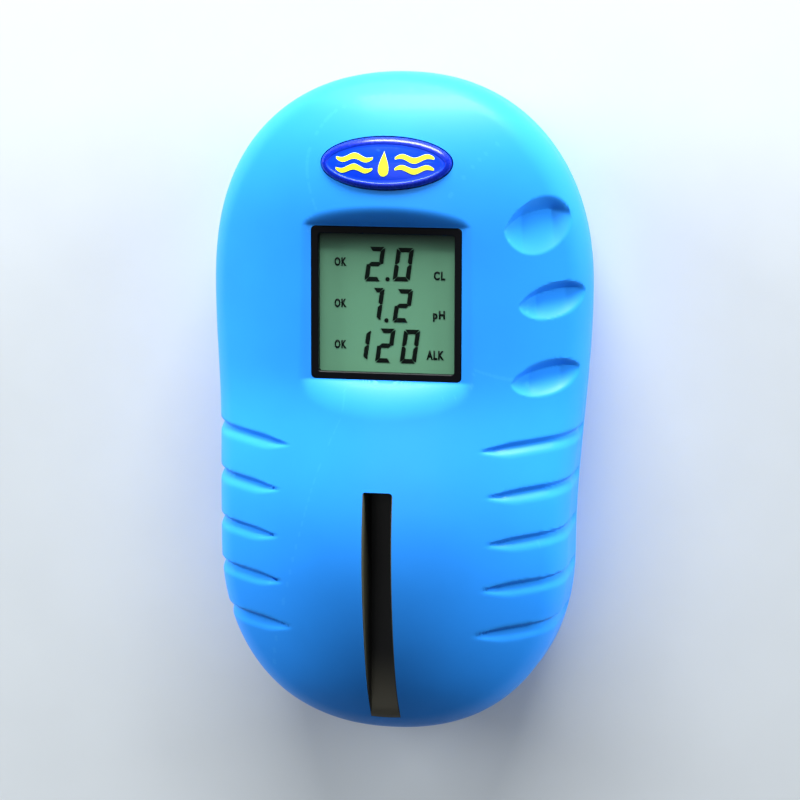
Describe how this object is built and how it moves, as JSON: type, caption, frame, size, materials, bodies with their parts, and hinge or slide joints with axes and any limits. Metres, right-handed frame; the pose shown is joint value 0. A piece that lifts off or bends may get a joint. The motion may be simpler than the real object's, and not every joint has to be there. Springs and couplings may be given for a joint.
{
  "type": "digital water tester",
  "caption": "Handheld pool test strip reader with square segment display, oval push button, black strip channel and sliding battery cover.",
  "frame": {"origin": "centre of the flat back, on the plane the case rests on", "axes": "+Z is the normal of the face, +Y points to the display end, +X to the right seen from the front"},
  "size_m": [0.074, 0.126, 0.0349],
  "materials": {
    "shell_blue": "satin azure moulded plastic",
    "button_blue": "high-gloss royal blue plastic",
    "badge_yellow": null,
    "clear_window": "clear acrylic",
    "black_print": "black printed border",
    "gasket_foam": "adhesive foam",
    "lcd": "reflective segment display",
    "reflector": "silvered film",
    "white_plastic": "satin white moulded plastic",
    "zebra": "layered elastomer",
    "board_green": "solder-masked laminate",
    "chip_black": "epoxy package",
    "can_metal": "bright can",
    "smd_mixed": "ceramic chips",
    "led_clear": "clear resin",
    "eye_dark": "dark filter resin",
    "channel_black": "matt black plastic",
    "switch_metal": "steel cover",
    "plunger_black": "black plastic",
    "cell_jacket": "printed steel jacket",
    "contact_nickel": "nickel-plated spring steel",
    "wire_red": "wire jacket",
    "wire_black": "wire jacket",
    "screw_steel": "zinc-plated",
    "label_silver": "blank satin label"
  },
  "bodies": {
    "case": {"front_shell": "shell_blue", "rear_shell": "shell_blue", "display_lens": "clear_window", "display_mask": "black_print", "lens_gasket": "gasket_foam", "lcd_glass": "lcd", "lcd_reflector": "reflector", "lcd_frame": "white_plastic", "zebra_connectors": "zebra", "main_pcb": "board_green", "microcontroller": "chip_black", "crystal": "can_metal", "smd_parts": "smd_mixed", "voltage_regulator": "chip_black", "bulk_capacitor": "can_metal", "sensor_leds": "led_clear", "photodiodes": "eye_dark", "optics_block": "channel_black", "optics_window": "clear_window", "strip_guide": "channel_black", "tact_switch_body": "switch_metal", "battery_1": "cell_jacket", "battery_2": "cell_jacket", "negative_spring": "contact_nickel", "positive_contact": "contact_nickel", "bridge_contact": "contact_nickel", "red_lead": "wire_red", "black_lead": "wire_black", "case_screws": "screw_steel", "pcb_screws": "screw_steel", "rating_label": "label_silver"},
    "button": {"button_cap": "button_blue", "button_label": "badge_yellow"},
    "plunger": {"switch_plunger": "plunger_black"},
    "door": {"battery_door": "shell_blue"}
  },
  "joints": [
    {"name": "button_press", "type": "slide", "parent": "case", "child": "button", "axis": [0, 0, -1], "range_m": [0, 0.0006]},
    {"name": "switch_plunger_press", "type": "slide", "parent": "case", "child": "plunger", "axis": [0, 0, -1], "range_m": [0, 0.0006]},
    {"name": "battery_door_slide", "type": "slide", "parent": "case", "child": "door", "axis": [0, -1, 0], "range_m": [0, 0.062]}
  ],
  "couplings": [
    {"joint": "switch_plunger_press", "follows": "button_press", "ratio": 1}
  ]
}
